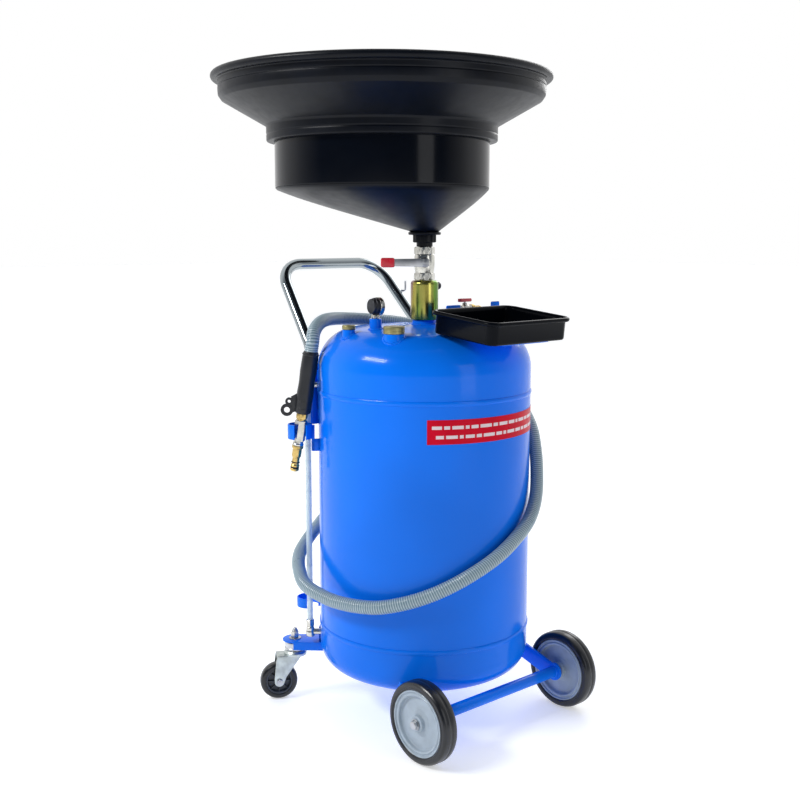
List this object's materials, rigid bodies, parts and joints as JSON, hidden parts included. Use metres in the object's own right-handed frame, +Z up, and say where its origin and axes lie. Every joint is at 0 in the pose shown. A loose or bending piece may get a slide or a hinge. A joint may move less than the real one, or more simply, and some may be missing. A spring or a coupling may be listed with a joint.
{
  "type": "mobile waste oil drainer",
  "caption": "Wheeled blue tank with a height-adjustable black catching bowl, drain valve, push handle, tool tray, sight tube and suction hose with hand grip.",
  "frame": {"origin": "on the floor, under the middle of the whole object's footprint, hose and grip left out", "axes": "+Z up, X along the axle of the two fixed wheels, -Y towards the fixed wheels and the tool tray, +Y towards the push handle and the casters"},
  "size_m": [0.6339, 0.648, 1.22],
  "materials": {
    "blue_paint": "gloss",
    "black_plastic": "gloss",
    "grip_plastic": "satin",
    "yellow_zinc": "yellow passivated",
    "nickel": "nickel plated",
    "chrome": "mirror",
    "steel": "zinc plated",
    "brass": "polished",
    "brass_plug": "dull",
    "dark_steel": "blackened",
    "red_plastic": "gloss",
    "nylon": "natural",
    "hub_plastic": "satin",
    "dark_plastic": "satin",
    "tyre_rubber": "matte",
    "clear_tube": "clear",
    "gauge_glass": "clear",
    "dial_white": "matte",
    "label_red": "printed film",
    "hose_pvc": "translucent"
  },
  "bodies": {
    "root": {"tank_shell": "blue_paint", "tank_top_head": "blue_paint", "tank_bottom_head": "blue_paint", "top_sockets": "blue_paint", "guide_sleeve": "yellow_zinc", "column_bushes": "nylon", "gauge_case": "dark_steel", "gauge_dial": "dial_white", "gauge_glass": "gauge_glass", "air_valve_body": "nickel", "air_nipple": "brass", "tray_bracket": "blue_paint", "handle_tube": "chrome", "handle_sockets": "blue_paint", "handle_hook": "steel", "sight_tube": "clear_tube", "sight_fittings": "nickel", "holder_ring": "blue_paint", "gun_clip": "blue_paint", "label": "label_red", "hose_fitting": "nickel", "dip_tube": "steel", "suction_hose": "hose_pvc", "gun_grip": "grip_plastic", "gun_body": "nickel", "gun_tip": "brass", "axle_arms": "blue_paint", "axle_tube": "blue_paint", "axle_rod": "steel", "axle_nuts": "steel", "caster_brackets": "blue_paint", "king_bolts": "nickel"},
    "column": {"column_tube": "steel", "valve_body": "nickel"},
    "valve_lever": {"valve_ball": "chrome", "valve_lever": "steel", "lever_sleeve": "red_plastic"},
    "bowl": {"bowl_outlet": "black_plastic", "union_nut": "black_plastic", "bowl_cone": "black_plastic", "bowl_drum": "black_plastic", "bowl_funnel": "black_plastic"},
    "strainer": {"bowl_strainer": "steel"},
    "lock_screw": {"lock_screw": "dark_steel"},
    "filler_plug": {"filler_plug": "brass_plug"},
    "vent_plug": {"vent_plug": "brass_plug"},
    "gauge_needle": {"gauge_needle": "dark_steel"},
    "air_handle": {"air_valve_handle": "red_plastic"},
    "tray": {"tray": "black_plastic"},
    "wheel_left": {"wheel_hub_left": "hub_plastic", "wheel_tyre_left": "tyre_rubber"},
    "wheel_right": {"wheel_hub_right": "hub_plastic", "wheel_tyre_right": "tyre_rubber"},
    "caster_left": {"caster_fork_left": "steel"},
    "caster_right": {"caster_fork_right": "steel"},
    "caster_wheel_left": {"caster_wheel_left": "dark_plastic", "caster_tyre_left": "tyre_rubber"},
    "caster_wheel_right": {"caster_wheel_right": "dark_plastic", "caster_tyre_right": "tyre_rubber"}
  },
  "joints": [
    {"name": "column_slide", "type": "slide", "parent": "root", "child": "column", "axis": [0, 0, 1], "range_m": [0, 0.5]},
    {"name": "bowl_swivel", "type": "hinge", "parent": "column", "child": "bowl", "pos_m": [0.06, -0.046, 0.9], "axis": [0, 0, 1], "continuous": true},
    {"name": "valve_lever_turn", "type": "hinge", "parent": "column", "child": "valve_lever", "pos_m": [0.06, -0.046, 0.875], "axis": [-0.6613, -0.7501, 0], "range_deg": [0, 90]},
    {"name": "strainer_lift", "type": "slide", "parent": "bowl", "child": "strainer", "axis": [0, 0, 1], "range_m": [0, 0.25]},
    {"name": "lock_screw_turn", "type": "hinge", "parent": "root", "child": "lock_screw", "pos_m": [0.06, -0.046, 0.829], "axis": [0.9962, 0.0872, 0], "range_deg": [0, 360]},
    {"name": "filler_plug_lift", "type": "slide", "parent": "root", "child": "filler_plug", "axis": [0, 0, 1], "range_m": [0, 0.06]},
    {"name": "vent_plug_lift", "type": "slide", "parent": "root", "child": "vent_plug", "axis": [0, 0, 1], "range_m": [0, 0.05]},
    {"name": "gauge_needle_turn", "type": "hinge", "parent": "root", "child": "gauge_needle", "pos_m": [-0.051, -0.032, 0.795], "axis": [0.9877, -0.1564, 0], "range_deg": [0, 270], "stiffness_Nm_per_rad": 0.002},
    {"name": "air_handle_turn", "type": "hinge", "parent": "root", "child": "air_handle", "pos_m": [0.179, -0.036, 0.79], "axis": [0, 0, 1], "range_deg": [0, 90]},
    {"name": "tray_lift", "type": "slide", "parent": "root", "child": "tray", "axis": [0, 0, 1], "range_m": [0, 0.08]},
    {"name": "wheel_left_spin", "type": "hinge", "parent": "root", "child": "wheel_left", "pos_m": [-0.129, -0.249, 0.075], "axis": [1, 0, 0], "continuous": true},
    {"name": "wheel_right_spin", "type": "hinge", "parent": "root", "child": "wheel_right", "pos_m": [0.249, -0.249, 0.075], "axis": [1, 0, 0], "continuous": true},
    {"name": "caster_left_swivel", "type": "hinge", "parent": "root", "child": "caster_left", "pos_m": [-0.123, 0.137, 0.094], "axis": [0, 0, 1], "continuous": true},
    {"name": "caster_left_roll", "type": "hinge", "parent": "caster_left", "child": "caster_wheel_left", "pos_m": [-0.15244, 0.154, 0.0375], "axis": [-0.5, -0.866, 0], "continuous": true},
    {"name": "caster_right_swivel", "type": "hinge", "parent": "root", "child": "caster_right", "pos_m": [0.243, 0.137, 0.094], "axis": [0, 0, 1], "continuous": true},
    {"name": "caster_right_roll", "type": "hinge", "parent": "caster_right", "child": "caster_wheel_right", "pos_m": [0.27244, 0.154, 0.0375], "axis": [-0.5, 0.866, 0], "continuous": true}
  ]
}
